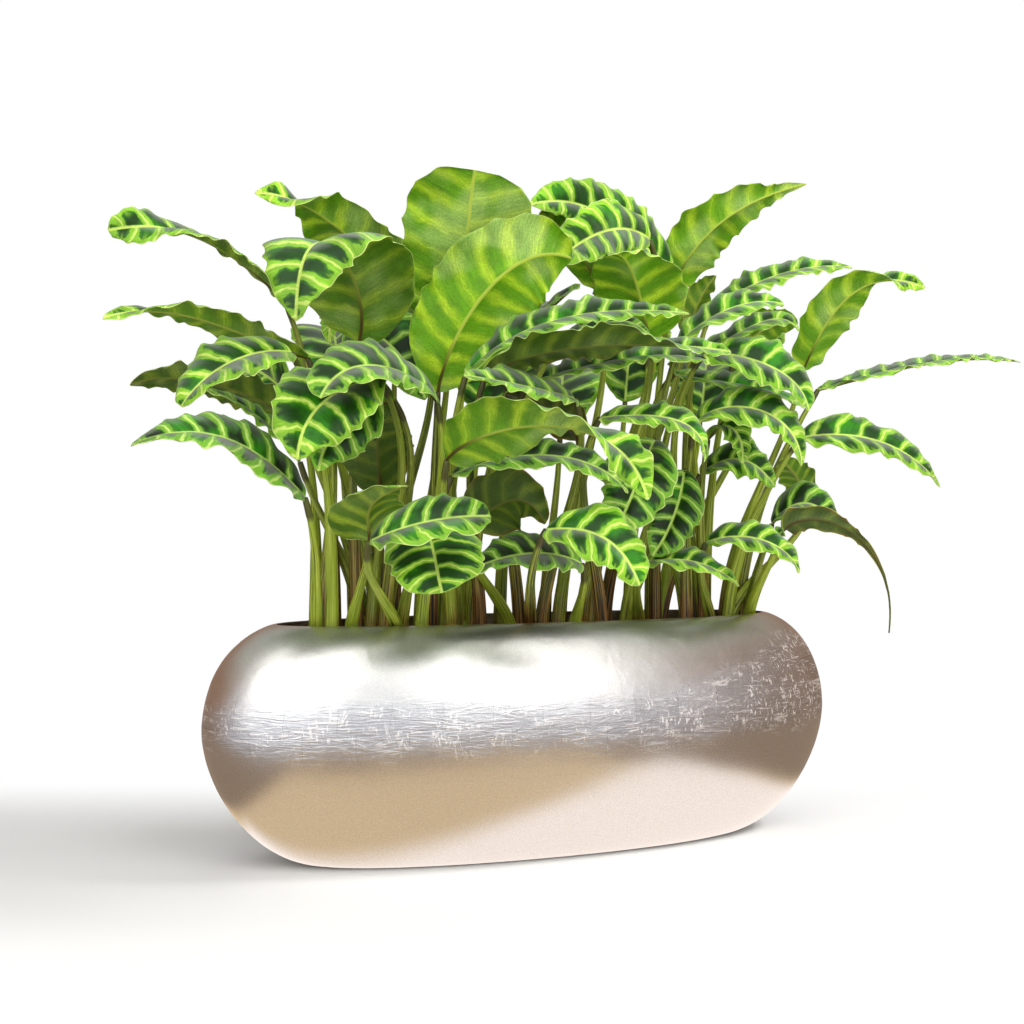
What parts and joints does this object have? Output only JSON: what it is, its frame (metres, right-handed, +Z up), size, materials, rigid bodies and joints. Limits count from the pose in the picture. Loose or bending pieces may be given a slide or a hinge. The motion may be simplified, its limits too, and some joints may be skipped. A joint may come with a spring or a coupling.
{
  "type": "potted calathea",
  "caption": "Zebra-striped calathea with tall bunched leafy stems, standing in soil in a long oval planter with a bulging wall and a silver-leaf skin.",
  "frame": {"origin": "middle of the planter's flat underside", "axes": "+X along the planter's length, +Z up, the front of the plant faces -Y"},
  "size_m": [1.2415, 0.5907, 0.8459],
  "materials": {
    "silver_leaf": "silver-coloured metal leaf laid in overlapping squares under a satin lacquer",
    "potting_soil": "crumbly, dark brown",
    "leaf": "satin leaf, dark green with light stripes, olive below"
  },
  "bodies": {
    "root": {"planter": "silver_leaf", "soil": "potting_soil", "stem_left_01": "leaf", "stem_left_02": "leaf", "stem_left_03": "leaf", "stem_left_04": "leaf", "stem_left_05": "leaf", "stem_left_06": "leaf", "stem_left_07": "leaf", "stem_left_08": "leaf", "stem_left_09": "leaf", "stem_left_10": "leaf", "stem_left_11": "leaf", "stem_left_12": "leaf", "stem_left_13": "leaf", "stem_centre_01": "leaf", "stem_centre_02": "leaf", "stem_centre_03": "leaf", "stem_centre_04": "leaf", "stem_centre_05": "leaf", "stem_centre_06": "leaf", "stem_centre_07": "leaf", "stem_centre_08": "leaf", "stem_centre_09": "leaf", "stem_centre_10": "leaf", "stem_centre_11": "leaf", "stem_centre_12": "leaf", "stem_centre_13": "leaf", "stem_centre_14": "leaf", "stem_centre_15": "leaf", "stem_centre_16": "leaf", "stem_centre_17": "leaf", "stem_centre_18": "leaf", "stem_centre_19": "leaf", "stem_right_01": "leaf", "stem_right_02": "leaf", "stem_right_03": "leaf", "stem_right_04": "leaf", "stem_right_05": "leaf", "stem_right_06": "leaf", "stem_right_07": "leaf", "stem_right_08": "leaf", "stem_right_09": "leaf", "stem_right_10": "leaf", "stem_right_11": "leaf", "stem_right_12": "leaf", "stem_back_01": "leaf", "stem_back_02": "leaf", "stem_back_03": "leaf", "stem_back_04": "leaf", "stem_back_05": "leaf", "stem_back_06": "leaf", "stem_back_07": "leaf", "stem_back_08": "leaf", "stem_back_09": "leaf", "stem_back_10": "leaf"}
  },
  "joints": []
}
